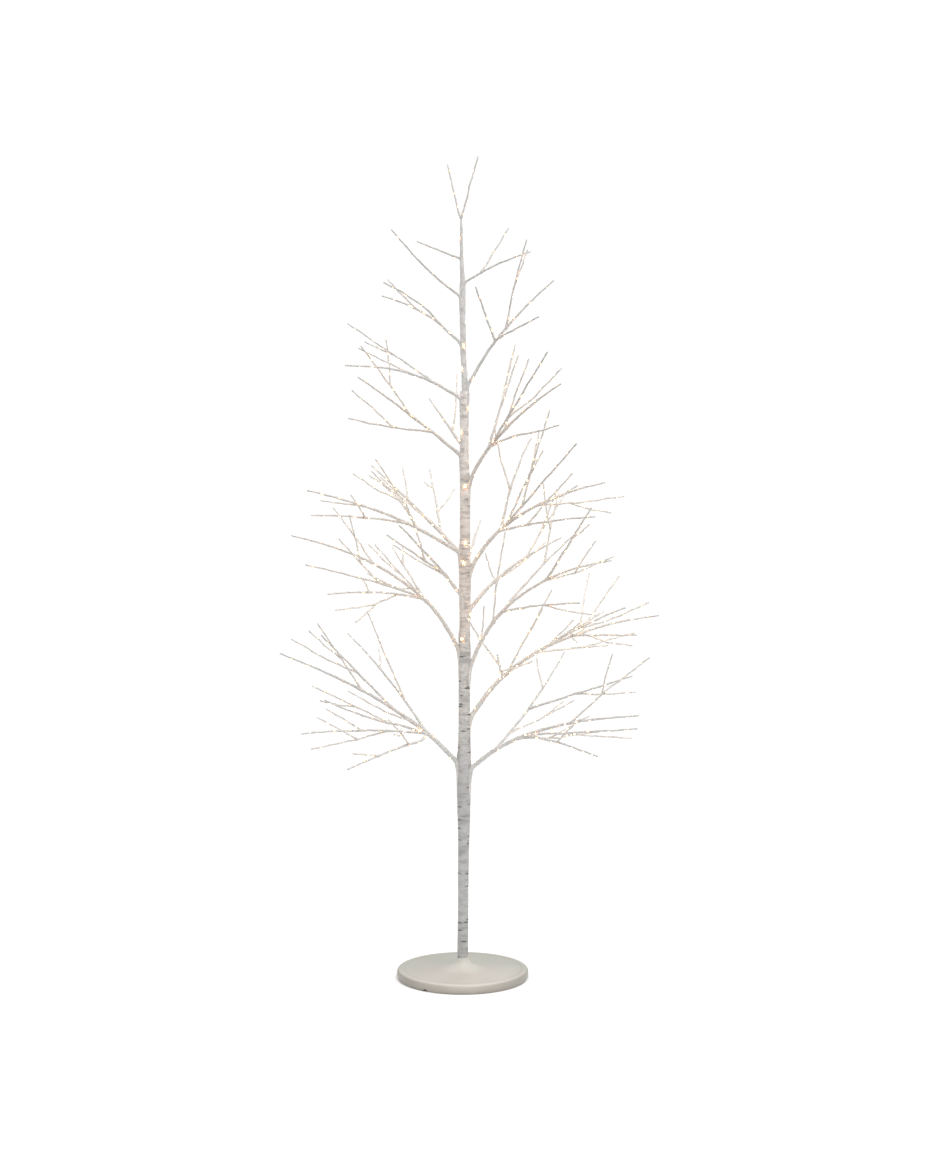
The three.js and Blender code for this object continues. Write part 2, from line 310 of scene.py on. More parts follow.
def paper_tape(name, pale, mid, warm):
    """Crepe paper tape, wound round a wire on a slant. Each turn laps the last, so a fine edge
    shows every 11 mm, or 33 mm on a pole, with a faint darker line along each lap and short fibres all
    over."""
    material, tree, shader = new_material(name)
    place = node(tree, "ShaderNodeTexCoord").outputs["Object"]
    wind = node(tree, "ShaderNodeUVMap", uv_map="wind").outputs["UV"]
    parts = node(tree, "ShaderNodeSeparateXYZ", {"Vector": wind})
    # across one turn of tape, from 0 at its edge to 1 at the next
    turn = node(
        tree, "ShaderNodeMath", {0: parts.outputs["X"], 1: parts.outputs["Y"]}, operation="ADD"
    ).outputs[0]
    lap = node(tree, "ShaderNodeMath", {0: turn}, operation="FRACT").outputs[0]
    mottle = node(
        tree, "ShaderNodeTexNoise", {"Vector": place, "Scale": 55, "Detail": 4}
    ).outputs[0]
    ground = node(
        tree, "ShaderNodeValToRGB", {"Fac": mottle}, stops=[(0.3, warm), (0.5, mid), (0.7, pale)]
    ).outputs[0]
    fibre = node(
        tree, "ShaderNodeTexNoise", {"Vector": place, "Scale": 700, "Detail": 3, "Roughness": 0.7}
    ).outputs[0]
    fibrous = tinted(tree, fibre, [(0.5, 0.0), (0.75, 0.3)], ground, "#A9A39B")
    # a faint darker line along each lap edge
    edge_stops = [(0.0, 0.45), (0.07, 0.12), (0.2, 0.0), (0.93, 0.0), (1.0, 0.3)]
    lapped = tinted(tree, lap, edge_stops, fibrous, "#9C958C")
    tree.links.new(lapped, shader.inputs["Base Color"])
    relief(tree, shader, (fibre, 0.4, 0.2 * MM), (lap, 0.6, 0.4 * MM))
    shader.inputs["Roughness"].default_value = 0.82
    shader.inputs["IOR"].default_value = 1.5
    return material


def moulded_plastic():
    """Polypropylene moulded in a spark-worn tool: greige and satin, with a fine grain, a slow
    unevenness from cooling and a fine speckle of dust. Over that lie painted light and shade laid
    out for one front, at -Y: warm and lit there, painted shade greyer towards the back, a painted
    highlight on the boss and the crest, and painted shade in the groove and at the rim's sides and
    foot."""
    material, tree, shader = new_material("moulded_polypropylene")
    place = node(tree, "ShaderNodeTexCoord").outputs["Object"]
    cloud = node(tree, "ShaderNodeTexNoise", {"Vector": place, "Scale": 14, "Detail": 4}).outputs[0]
    ground = node(
        tree,
        "ShaderNodeValToRGB",
        {"Fac": cloud},
        stops=[(0.3, "#B2ABA2"), (0.55, "#B7B1A8"), (0.75, "#BBB6AE")],
    ).outputs[0]
    flat = node(tree, "ShaderNodeMapping", {"Vector": place, "Scale": (1, 1, 0)}).outputs[0]
    reach = node(tree, "ShaderNodeVectorMath", {0: flat}, operation="LENGTH").outputs["Value"]
    # painted highlight on the boss: the disc is paler from 60 mm in towards the boss's top
    near_boss = node(
        tree,
        "ShaderNodeMapRange",
        {"Value": reach, "From Min": 60 * MM, "From Max": 14 * MM, "To Max": 0.75},
    ).outputs[0]
    bossed = node(
        tree, "ShaderNodeMix", {0: near_boss, 6: ground, 7: colour("#CCC9C0")}, data_type="RGBA"
    ).outputs[2]
    # painted light and shade: warm and lit near the front edge, and shaded greyer from 120 to 230 mm
    # away from it
    front_edge = (0, -BASE_RADIUS, 0)
    from_front = node(tree, "ShaderNodeVectorMath", {0: flat, 1: front_edge}, operation="DISTANCE")
    shade_away_from_front = node(
        tree,
        "ShaderNodeMapRange",
        {"Value": from_front.outputs["Value"], "From Min": 0.12, "From Max": 0.23},
    ).outputs[0]
    shaded = node(
        tree,
        "ShaderNodeMix",
        {0: shade_away_from_front, 6: bossed, 7: colour("#EBF2F1")},
        data_type="RGBA",
        blend_type="MULTIPLY",
    ).outputs[2]
    # from the middle of the disc to its edge: painted shade as a darker line in the groove, fainter
    # away from the front, then a painted highlight as a paler line on the crest, gone at the two sides
    outward = node(tree, "ShaderNodeMath", {0: reach, 1: BASE_RADIUS}, operation="DIVIDE").outputs[0]
    frontward = node(
        tree, "ShaderNodeMapRange", {"Value": shade_away_from_front, "To Min": 1.0, "To Max": 0.3}
    ).outputs[0]
    groove_stops = [(0.868, 0.0), (0.882, 0.5), (0.893, 0.5), (0.905, 0.0)]
    grooved = tinted(tree, outward, groove_stops, shaded, "#9D998F", frontward)
    parts = node(tree, "ShaderNodeSeparateXYZ", {"Vector": place})
    aside, height = parts.outputs["X"], parts.outputs["Z"]
    across = node(tree, "ShaderNodeMath", {0: aside}, operation="ABSOLUTE").outputs[0]
    midward = node(
        tree,
        "ShaderNodeMapRange",
        {"Value": across, "From Min": 60 * MM, "From Max": 140 * MM, "To Min": 1.0, "To Max": 0.0},
    ).outputs[0]
    crest_stops = [(0.945, 0.0), (0.962, 0.7), (0.978, 0.7), (0.99, 0.0)]
    crested = tinted(tree, outward, crest_stops, grooved, "#CECAC2", midward)
    # painted shade: the rim's wall is darker at its two sides
    at_side = node(
        tree, "ShaderNodeMapRange", {"Value": across, "From Min": 30 * MM, "From Max": 130 * MM}
    ).outputs[0]
    wall = node(
        tree,
        "ShaderNodeMapRange",
        {"Value": outward, "From Min": 0.97, "From Max": 0.995, "To Max": at_side},
    ).outputs[0]
    walled = node(
        tree,
        "ShaderNodeMix",
        {0: wall, 6: crested, 7: colour("#D8D8D6")},
        data_type="RGBA",
        blend_type="MULTIPLY",
    ).outputs[2]
    # painted shade: the wall darkens towards its foot, below 19 mm, and more so away from the front
    foot_strength = node(
        tree, "ShaderNodeMapRange", {"Value": shade_away_from_front, "To Min": 0.72, "To Max": 1.25}
    ).outputs[0]
    low_down = node(
        tree,
        "ShaderNodeMapRange",
        {"Value": height, "From Min": 19 * MM, "From Max": 0.0, "To Max": foot_strength},
    ).outputs[0]
    footed = node(
        tree, "ShaderNodeMix", {0: low_down, 6: walled, 7: colour("#908B82")}, data_type="RGBA"
    ).outputs[2]
    dust = node(
        tree, "ShaderNodeTexNoise", {"Vector": place, "Scale": 420, "Detail": 4, "Roughness": 0.75}
    ).outputs[0]
    dusty = tinted(tree, dust, [(0.58, 0.0), (0.78, 0.5)], footed, "#A39D93")
    tree.links.new(dusty, shader.inputs["Base Color"])
    # mould grain, about 1 mm from bump to bump, and cooling waves about 80 mm long
    grain = node(tree, "ShaderNodeTexNoise", {"Vector": place, "Scale": 1000, "Detail": 1}).outputs[0]
    wave = node(tree, "ShaderNodeTexNoise", {"Vector": place, "Scale": 12}).outputs[0]
    relief(tree, shader, (grain, 0.35, 0.12 * MM), (wave, 0.4, 1.5 * MM))
    worn = node(tree, "ShaderNodeValToRGB", {"Fac": cloud}, stops=[(0.3, 0.34), (0.7, 0.46)])
    tree.links.new(worn.outputs[0], shader.inputs["Roughness"])
    shader.inputs["IOR"].default_value = 1.49
    shader.inputs["Subsurface Weight"].default_value = 0.05
    shader.inputs["Subsurface Radius"].default_value = (0.004, 0.003, 0.002)
    return material


def amber_resin():
    """The drop of epoxy round a diode: half clear, amber and glossy, with a faint painted warm glow of
    its own over the diode's real light.
    """
    material, tree, shader = new_material("amber_epoxy_resin")
    mottled(tree, shader, 400, [(0.35, "#F3C79C"), (0.65, "#F8D6B4")])
    shader.inputs["Alpha"].default_value = 0.6
    shader.inputs["Roughness"].default_value = 0.14
    shader.inputs["IOR"].default_value = 1.5
    # painted glow: the resin itself gives off a little warm light
    shader.inputs["Emission Color"].default_value = colour("#FFB273")
    shader.inputs["Emission Strength"].default_value = 0.6
    return material


def lit_diode():
    """A warm-white diode, alight behind its phosphor: too bright to show a colour of its own."""
    material, tree, shader = new_material("lit_diode_phosphor")
    mottled(tree, shader, 3000, [(0.35, "#F6D58A"), (0.65, "#FBE3A8")])
    shader.inputs["Roughness"].default_value = 0.6
    shader.inputs["Emission Color"].default_value = colour("#FFCB98")
    shader.inputs["Emission Strength"].default_value = 38.0
    return material


def clear_wire():
    """Thin PVC insulation, pale and slightly yellow, drawn smooth with a faint waviness."""
    material, tree, shader = new_material("pale_pvc_insulation")
    wave = mottled(tree, shader, 90, [(0.35, "#B5B1A9"), (0.65, "#C7C3BB")])
    ripple = node(tree, "ShaderNodeBump", {"Height": wave, "Strength": 0.3, "Distance": 0.2 * MM})
    tree.links.new(ripple.outputs[0], shader.inputs["Normal"])
    shader.inputs["Roughness"].default_value = 0.38
    shader.inputs["IOR"].default_value = 1.53
    return material


def floor_paint():
    """Matt white studio paint."""
    material, tree, shader = new_material("studio_paint")
    mottled(tree, shader, 3, [(0.3, "#F7F7F7"), (0.7, "#F9F9F9")])
    shader.inputs["Roughness"].default_value = 0.9
    shader.inputs["Specular IOR Level"].default_value = 0.1
    return material


# ---------------------------------------------------------------- modelling by hand
def deselect():
    if bpy.context.object and bpy.context.object.mode != "OBJECT":
        bpy.ops.object.mode_set(mode="OBJECT")
    bpy.ops.object.select_all(action="DESELECT")


def finish_mesh(piece, angle=40):
    """Merges doubles, points the faces out, and smooths all but the sharp edges."""
    bpy.ops.object.mode_set(mode="EDIT")
    bpy.ops.mesh.select_all(action="SELECT")
    bpy.ops.mesh.remove_doubles(threshold=0.01 * MM)
    bpy.ops.mesh.normals_make_consistent(inside=False)
    bpy.ops.object.mode_set(mode="OBJECT")
    bpy.ops.object.shade_smooth_by_angle(angle=math.radians(angle))
    return piece


def stack(name, rings, sides):
    """A round body drawn up ring by ring: each ring is (centre, radius), the first one a disc."""
    deselect()
    centre, radius = rings[0]
    bpy.ops.mesh.primitive_circle_add(
        vertices=sides, radius=radius, fill_type="NGON", location=centre
    )
    piece = bpy.context.object
    piece.name = name
    bpy.ops.object.transform_apply(location=True, rotation=True, scale=True)
    bpy.ops.object.mode_set(mode="EDIT")
    bpy.ops.mesh.select_all(action="SELECT")
    for (x, y, z), next_radius in rings[1:]:
        move = (x - centre[0], y - centre[1], z - centre[2])
        bpy.ops.mesh.extrude_region_move(TRANSFORM_OT_translate={"value": move})
        size = next_radius / radius
        bpy.ops.transform.resize(value=(size, size, 1), center_override=(x, y, z))
        centre, radius = (x, y, z), next_radius
    return finish_mesh(piece)


def settle(piece, material, replaced):
    """Gives a finished piece its material and its place in the frame."""
    piece.data.materials.clear()
    piece.data.materials.append(material)
    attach(piece, "root")
    if replaced:
        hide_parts(*replaced)


# ---------------------------------------------------------------- base
def arc_rings(radius, height, round_radius, steps):
    """The rings of a rounded top edge, from the side wall to the top."""
    turns = [math.pi / 2 * i / steps for i in range(steps + 1)]
    return [
        (radius - round_radius * (1 - math.cos(t)), height - round_radius * (1 - math.sin(t)))
        for t in turns
    ]


def boss_rings(foot, top, steps):
    """The boss's hollow flare, from (radius, height) at its foot to the same at its top."""
    (r0, z0), (r1, z1) = foot, top
    elbow = (r1 + 6 * MM, z0 + 4 * MM)
    rings = []
    for i in range(1, steps + 1):
        t = i / steps
        weights = ((1 - t) ** 2, 2 * t * (1 - t), t**2)
        radius = weights[0] * r0 + weights[1] * elbow[0] + weights[2] * r1
        height = weights[0] * z0 + weights[1] * elbow[1] + weights[2] * z1
        rings.append((radius, height))
    return rings


def make_base(plastic):
    low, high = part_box("base")
    radius, top = (high.x - low.x) / 2, high.z
    dish = BASE_RIM_HEIGHT - BASE_DISH
    groove = BASE_GROOVE_RADIUS
    profile = [
        (radius - 5 * MM, 0.0),
        (radius - 3.4 * MM, 0.7 * MM),
        (radius - 1.8 * MM, 2.4 * MM),
        (radius - 0.7 * MM, 5 * MM),
        (radius, 9 * MM),
    ]
    profile += arc_rings(radius, BASE_RIM_HEIGHT, 6 * MM, 6)
    profile += [
        (groove + 6 * MM, BASE_RIM_HEIGHT - 0.1 * MM),
        (groove + 2.6 * MM, BASE_RIM_HEIGHT - 0.4 * MM),
        (groove + 1.2 * MM, dish - 0.4 * MM),
        (groove, dish - 0.8 * MM),
        (groove - 1.2 * MM, dish - 0.5 * MM),
        (groove - 3 * MM, dish),
        (groove - 14 * MM, dish + 0.1 * MM),
        (BOSS_FOOT_RADIUS + 30 * MM, BASE_RIM_HEIGHT - 0.4 * MM),
    ]
    profile.append((BOSS_FOOT_RADIUS, BASE_RIM_HEIGHT))
    profile += boss_rings((BOSS_FOOT_RADIUS, BASE_RIM_HEIGHT), (BOSS_TOP_RADIUS, top - 1 * MM), 12)
    profile += [(BOSS_TOP_RADIUS - 0.4 * MM, top - 0.3 * MM), (BOSS_TOP_RADIUS - 1.1 * MM, top)]
    base = stack("base_moulding", [((0, 0, z), r) for r, z in profile], BASE_SIDES)
    cut_cord_notch(base, radius)
    settle(base, plastic, ["base"])


def cut_cord_notch(base, radius):
    """The small arch at the front left, where a lead would pass under the rim."""
    deselect()
    x, width = CORD_NOTCH["x"], CORD_NOTCH["width"]
    height, depth = CORD_NOTCH["height"], CORD_NOTCH["depth"]
    rim = -math.sqrt(radius**2 - x**2)
    bpy.ops.mesh.primitive_cylinder_add(
        vertices=24,
        radius=width / 2,
        depth=depth + 20 * MM,
        location=(x, rim + depth / 2 - 10 * MM, height - width / 2),
        rotation=(math.radians(90), 0, 0),
    )
    tool = bpy.context.object
    bpy.ops.object.transform_apply(location=True, rotation=True, scale=True)
    deselect()
    bpy.context.view_layer.objects.active = base
    base.select_set(True)
    cut = base.modifiers.new("cord_notch", "BOOLEAN")
    cut.operation = "DIFFERENCE"
    cut.solver = "EXACT"
    cut.object = tool
    bpy.ops.object.modifier_apply(modifier=cut.name)
    bpy.data.objects.remove(tool)
    finish_mesh(base)


# ---------------------------------------------------------------- the limbs' lines, from the frame
def clean_rings(name, sides):
    """The centre and radius of each whole ring of a CAD limb, from its root to its tip."""
    points = np.array([v.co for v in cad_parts[name].data.vertices])
    points = np.unique(np.round(points, 6), axis=0)
    middle = points.mean(0)
    axis = np.linalg.svd(points - middle, full_matrices=False)[2][0]
    order = np.argsort((points - middle) @ axis)
    points = points[order]
    gaps = np.diff((points - middle) @ axis)
    groups = np.split(points, np.nonzero(gaps > CAD_RING_GAP)[0] + 1)
    rings = []
    for group in groups:
        if len(group) not in (sides, sides + 1):
            continue
        centre = group.mean(0)
        far = np.linalg.norm(group - centre, axis=1).max()
        rings.append((centre, far))
    if rings[0][1] < rings[-1][1]:
        rings.reverse()
    return rings


def distances(line):
    """How far along a line each of its points lies."""
    return np.concatenate([[0], np.cumsum(np.linalg.norm(np.diff(line, axis=0), axis=1))])


def full_length(line):
    return np.linalg.norm(np.diff(line, axis=0), axis=1).sum()


def unit(direction):
    return direction / np.linalg.norm(direction)


def nearest_on(line, point):
    """The index of the point of a line nearest to another point."""
    return int(np.argmin(np.linalg.norm(line - point, axis=1)))


def smooth_line(points, step):
    """Points at an even step along a smooth curve through others."""
    points = np.array(points, float)
    ends = (2 * points[0] - points[1], 2 * points[-1] - points[-2])
    padded = np.vstack([ends[0], points, ends[1]])
    dense = []
    for i in range(1, len(padded) - 2):
        a, b, c, d = padded[i - 1 : i + 3]
        for t in np.linspace(0, 1, 24, endpoint=False):
            dense.append(
                0.5
                * (
                    2 * b
                    + (c - a) * t
                    + (2 * a - 5 * b + 4 * c - d) * t**2
                    + (3 * b - a - 3 * c + d) * t**3
                )
            )
    dense.append(padded[-2])
    dense = np.array(dense)
    run = distances(dense)
    count = max(4, int(round(run[-1] / step)))
    marks = np.linspace(0, run[-1], count + 1)
    return np.column_stack([np.interp(marks, run, dense[:, k]) for k in range(3)])


def carried_back(rings):
    """A limb's line carried back down the bend of its first rings, a point every 2 mm."""
    centres = np.array([c for c, _ in rings[: min(4, len(rings))]])
    run = distances(centres)
    degree = min(2, len(centres) - 1)
    bends = [np.polyfit(run, centres[:, k], degree) for k in range(3)]
    marks = -np.arange(0, 200 * MM, 2 * MM)
    return np.column_stack([np.polyval(bend, marks) for bend in bends])


def root_on(rings, parent):
    """The point of a parent's line where a limb's own line, straight in plan, crosses it."""
    first, last = rings[0][0], rings[-1][0]
    ahead = unit((last - first)[:2])
    offset = parent[:, :2] - first[:2]
    aside = np.abs(offset[:, 0] * ahead[1] - offset[:, 1] * ahead[0])
    behind = offset @ ahead < 0
    close = np.linalg.norm(parent - first, axis=1) < ROOT_SEARCH
    allowed = behind & close
    if not allowed.any():
        return parent[nearest_on(parent, first)]
    return parent[int(np.argmin(np.where(allowed, aside, np.inf)))]


def down_the_trunk(rings, trunk, girth, radius):
    """The points that carry a bough's line to the trunk's side and on down it, sinking under the
    wrap as it goes."""
    back = carried_back(rings)
    near = [trunk[nearest_on(trunk[:, 2:], point[2:])] for point in back]
    away = np.linalg.norm((back - near)[:, :2], axis=1)
    leaves = int(np.argmax(away < np.interp(back[:, 2], *girth) + radius * 0.6))
    side = (back[leaves] - near[leaves])[:2]
    side = unit(side)
    run = []
    for drop, sunk in BOUND_RUN:
        height = back[leaves][2] - drop
        centre = trunk[nearest_on(trunk[:, 2:], np.array([height]))]
        out = np.interp(height, *girth) - sunk * radius
        run.append(np.array([*(centre[:2] + side * max(out, 0)), height]))
    # then up the bend to the bough, a point every 28 mm, ending 16 mm short of its first ring
    return [*run, *(back[i] for i in range(leaves, 7, -14))]


# ---------------------------------------------------------------- trunk
def trunk_line(name):
    """A pole's rings, from its foot up."""
    rings = clean_rings(name, CAD_SIDES["trunk"])
    if rings[0][0][2] > rings[-1][0][2]:
        rings.reverse()
    return rings


def bundle_ridges(heights, angles, boughs):
    """How far the bough wires under the wrap lift the trunk's surface, in metres."""
    lift = np.zeros_like(heights)
    for root, bearing in boughs:
        turned = np.angle(np.exp(1j * (angles - bearing)))
        below = root - heights
        run = np.clip(below / BUNDLE_REACH, 0, 1)
        held = np.where(below > -12 * MM, np.exp(-((run / 0.62) ** 2)), 0)
        held = np.where(below < 0, held * np.exp(-((below / (6 * MM)) ** 2)), held)
        lift += BUNDLE_LIFT * held * np.exp(-((turned / 0.34) ** 2))
    return lift


def make_trunk(name, node_name, paper, boughs, seams):
    """A wrapped pole: its girth from the frame, then the wrap's relief worked in by hand."""
    rings = trunk_line(node_name)
    line = smooth_line([c for c, _ in rings], TRUNK_RING_STEP)
    heights = set(np.round(line[:, 2], 5))
    for seam in seams:
        heights.update(seam + d * MM for d in (-2.4, -1.2, -0.4, 0.4, 1.2, 2.4))
    low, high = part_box(node_name)
    heights = sorted(h for h in heights if low.z + 1 * MM < h < high.z - 1.5 * MM)
    girth = ([c[2] for c, _ in rings], [r for _, r in rings])

    def ring(height, shrink=0.0):
        centre = [float(np.interp(height, line[:, 2], line[:, k])) for k in (0, 1)]
        return ((*centre, height), float(np.interp(height, *girth)) - shrink)

    stacked = [ring(low.z, 0.5 * MM)] + [ring(float(h)) for h in heights]
    stacked += [ring(high.z - 0.9 * MM, 0.1 * MM), ring(high.z - 0.2 * MM, 0.5 * MM)]
    stacked += [ring(high.z, 1.3 * MM)]
    piece = stack(name, stacked, TRUNK_SIDES)
    points = np.zeros(len(piece.data.vertices) * 3)
    piece.data.vertices.foreach_get("co", points)
    points = points.reshape(-1, 3)
    centres = np.column_stack([np.interp(points[:, 2], line[:, 2], line[:, k]) for k in (0, 1)])
    outward = points[:, :2] - centres
    radii = np.linalg.norm(outward, axis=1)
    angles = np.arctan2(outward[:, 1], outward[:, 0])
    lift = bundle_ridges(points[:, 2], angles, boughs) - 0.5 * MM
    # slow unevenness of the wrap, with whole turns round the trunk so that it closes
    for turns, length, depth in ((2, 0.31, 0.35), (3, 0.12, 0.28), (5, 0.055, 0.2), (7, 0.03, 0.12)):
        phase = CHANCE.uniform(0, 2 * math.pi, 2)
        wave = np.sin(turns * angles + phase[0] + 2 * math.pi * points[:, 2] / length)
        lift += depth * MM * wave * np.sin(2 * math.pi * points[:, 2] / (length * 2.7) + phase[1])
    for seam in seams:
        lift -= 0.9 * MM * np.exp(-(((points[:, 2] - seam) / (0.8 * MM)) ** 2))
        lift += np.where(points[:, 2] < seam, 0.35 * MM, 0) * (points[:, 2] > seam - 5 * MM)
    near_end = np.minimum(points[:, 2] - low.z, high.z - points[:, 2])
    lift *= np.clip(near_end / (8 * MM), 0, 1)
    points[:, :2] = centres + outward * ((radii + lift) / np.maximum(radii, 1e-6))[:, None]
    piece.data.vertices.foreach_set("co", points.ravel())
    piece.data.update()
    wind_map(piece, line)
    settle(piece, paper, [node_name])
    return line, girth


def wind_map(piece, line):
    """The map that the tape follows on a pole: turns round it, and turns of tape along it."""
    mesh = piece.data
    layer = mesh.uv_layers.new(name="wind")
    for face in mesh.polygons:
        first = None
        for corner in face.loop_indices:
            x, y, z = mesh.vertices[mesh.loops[corner].vertex_index].co
            middle_x = np.interp(z, line[:, 2], line[:, 0])
            middle_y = np.interp(z, line[:, 2], line[:, 1])
            turn = math.atan2(y - middle_y, x - middle_x) / (2 * math.pi)
            if first is None:
                first = turn
            turn += round(first - turn)
            layer.data[corner].uv = (turn, z / (3 * TAPE_PITCH))


# ---------------------------------------------------------------- strands: boughs, twigs and wire
def strand_frames(line):
    """Two side directions at every point of a line, carried along it without twist."""
    along = np.gradient(line, axis=0)
    along /= np.linalg.norm(along, axis=1)[:, None]
    side = np.cross(along[0], (0.31, 0.17, 0.94))
    sides = []
    for direction in along:
        side = side - direction * (side @ direction)
        side = unit(side)
        sides.append(side)
    sides = np.array(sides)
    return along, sides, np.cross(along, sides)


def lap_relief(run, turns):
    """The tape's step, as a share of the thickness of the tape: up at each edge, then thinning."""
    return 1 - np.mod(turns + run / TAPE_PITCH, 1.0)


def strand_shell(line, radii, sides, tape):
    """Points, faces and winding map of one closed strand; tape is the thickness of its wrap."""
    _, first, second = strand_frames(line)
    run = distances(line)
    turns = np.arange(sides) / sides
    angle = 2 * math.pi * turns
    lift = tape * lap_relief(run[:, None], turns[None, :])
    reach = radii[:, None] + lift - tape / 2
    ring = (
        line[:, None, :]
        + reach[:, :, None]
        * (
            np.cos(angle)[None, :, None] * first[:, None, :]
            + np.sin(angle)[None, :, None] * second[:, None, :]
        )
    )
    points = np.vstack([ring.reshape(-1, 3), line[0], line[-1]])
    faces, winds = [], []
    count = len(line)
    for i in range(count - 1):
        for j in range(sides):
            k = (j + 1) % sides
            faces.append((i * sides + j, i * sides + k, (i + 1) * sides + k, (i + 1) * sides + j))
            low, high = run[i] / TAPE_PITCH, run[i + 1] / TAPE_PITCH
            u, v = j / sides, (j + 1) / sides
            winds += [(u, low), (v, low), (v, high), (u, high)]
    start, end = count * sides, count * sides + 1
    for j in range(sides):
        k = (j + 1) % sides
        faces.append((start, k, j))
        faces.append((end, (count - 1) * sides + j, (count - 1) * sides + k))
        winds += [(j / sides, 0.0)] * 3
        winds += [(j / sides, run[-1] / TAPE_PITCH)] * 3
    return points, faces, winds


def joined_shells(name, shells):
    """One mesh from many closed shells."""
    points, faces, winds = [], [], []
    start = 0
    for shell_points, shell_faces, shell_winds in shells:
        points.append(shell_points)
        faces += [tuple(start + i for i in face) for face in shell_faces]
        winds += shell_winds
        start += len(shell_points)
    mesh = bpy.data.meshes.new(name)
    mesh.from_pydata(np.vstack(points).tolist(), [], faces)
    layer = mesh.uv_layers.new(name="wind")
    layer.data.foreach_set("uv", np.array(winds, np.float32).ravel())
    mesh.polygons.foreach_set("use_smooth", [True] * len(faces))
    mesh.update()
    piece = bpy.data.objects.new(name, mesh)
    bpy.context.scene.collection.objects.link(piece)
    return piece


def knobbly(line, radii, knots, root_swell):
    """Swells a strand at its root and where a twig leaves it, and roughens its taper a little."""
    run = distances(line)
    swell = root_swell * np.exp(-((run / (14 * MM)) ** 2))
    for knot in knots:
        swell = swell + 0.3 * np.exp(-(((run - knot * run[-1]) / (7 * MM)) ** 2))
    for length in (0.043, 0.017):
        phase = CHANCE.uniform(0, 2 * math.pi)
        swell = swell + 0.04 * np.sin(2 * math.pi * run / length + phase)
    return radii * (1 + swell)


def kinked(line, amount):
    """Bends a line a little from side to side, as a wire bent by hand is, and keeps its ends."""
    _, first, second = strand_frames(line)
    share = np.linspace(0, 1, len(line))
    held = np.sin(math.pi * share) ** 0.5
    bent = line.copy()
    for side in (first, second):
        for waves in (2.3, 4.1):
            phase = CHANCE.uniform(0, 2 * math.pi)
            swing = amount / waves * np.sin(2 * math.pi * waves * share + phase)
            bent = bent + (swing * held)[:, None] * side
    return bent


# ---------------------------------------------------------------- boughs and twigs
def inside_crown(point):
    """True inside the crown's outline: widest low down, and drawn in to the top like an egg."""
    low, high = cad_box
    widest = np.array([high.x - low.x, high.y - low.y]) / 2 * 0.98
    share = min(1.0, (high.z - point[2]) / CROWN_TAPER_HEIGHT)
    if share <= 0 or point[2] < CROWN_FOOT:
        return False
    middle = np.array([low.x + high.x, low.y + high.y]) / 2
    return float((((point[:2] - middle) / widest) ** 2).sum()) < share


def twig_line(root, along, out, length):
    """A twig's line: it leaves on a slant and curls back towards the limb's own direction."""
    aim = along + out * CHANCE.uniform(0.45, 0.8)
    aim = unit(aim)
    later = aim + along * 0.2 + np.array([0, 0, CHANCE.uniform(0.0, 0.16)])
    later = unit(later)
    bend = root + aim * length * 0.45
    tip = bend + later * length * 0.55
    while not inside_crown(tip) and length > SHORTEST_TWIG:
        length *= 0.85
        bend = root + aim * length * 0.45
        tip = bend + later * length * 0.55
    line = smooth_line([root, (root + bend) / 2, bend, (bend + tip) / 2, tip], TWIG_STEP)
    return kinked(line, TWIG_KINK)


def twigs_on(line, spacing, longest, first_share, last_share):
    """Twigs that leave a strand on alternate sides. Gives their lines and the shares they leave at."""
    length = full_length(line)
    count = int(round(length * (1 - first_share) / spacing))
    along, first, second = strand_frames(line)
    start = CHANCE.uniform(0, 2 * math.pi)
    lines, shares = [], []
    for i in range(count):
        share = first_share + (last_share - first_share) * (i + CHANCE.uniform(0.2, 0.8)) / count
        index = int(share * (len(line) - 1))
        angle = start + i * TWIG_TURN + CHANCE.uniform(-0.35, 0.35)
        out = math.cos(angle) * first[index] + math.sin(angle) * second[index]
        out = out + np.array([0, 0, 0.3])
        reach = min(longest * CHANCE.uniform(0.6, 1.0), length * (1.25 - share))
        lines.append(twig_line(line[index], along[index], out, reach))
        shares.append(share)
    return lines, shares


def tapered(line, root, tip, ease=0.85):
    """Radii from root to tip; with ease under 1, a strand thins faster near its root."""
    return root + (tip - root) * np.linspace(0, 1, len(line)) ** ease


def grow_twigs(limb_line, strands):
    """The twigs of one limb and the sprigs of its longer twigs, added to strands."""
    spacing = TWIG_SPACING if limb_line[0][2] < SPARSE_HEIGHT else SPARSE_SPACING
    lines, shares = twigs_on(limb_line, spacing, TWIG_LENGTH, 0.14, 0.76)
    for line in lines:
        length = full_length(line)
        sprigs, knots = [], []
        if length > SPRIG_BEARING_LENGTH:
            sprigs, knots = twigs_on(line, SPRIG_SPACING, SPRIG_LENGTH, 0.3, 0.6)
        radii = knobbly(line, tapered(line, TWIG_ROOT_RADIUS, TIP_RADIUS), knots, 0.3)
        strands.append((line, radii))
        for sprig in sprigs:
            sprig_radii = tapered(sprig, TWIG_ROOT_RADIUS * 0.75, TIP_RADIUS)
            strands.append((sprig, knobbly(sprig, sprig_radii, [], 0.25)))
    return shares


def limb_names(bough):
    return sorted(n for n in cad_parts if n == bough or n.startswith(bough + "_"))


def limb_line(name, parents):
    """A limb's line and radii from the frame, carried back into the nearest parent."""
    rings = clean_rings(name, CAD_SIDES["limb"])
    root = rings[0][0]
    parent = min(parents, key=lambda p: np.linalg.norm(p - root, axis=1).min())
    points = [root_on(rings, parent)] + [c for c, _ in rings]
    line = smooth_line(points, BOUGH_STEP)
    root_radius = max(r for _, r in rings[:2]) * LIMB_SWELL
    return line, tapered(line, root_radius, LIMB_TIP_RADIUS)


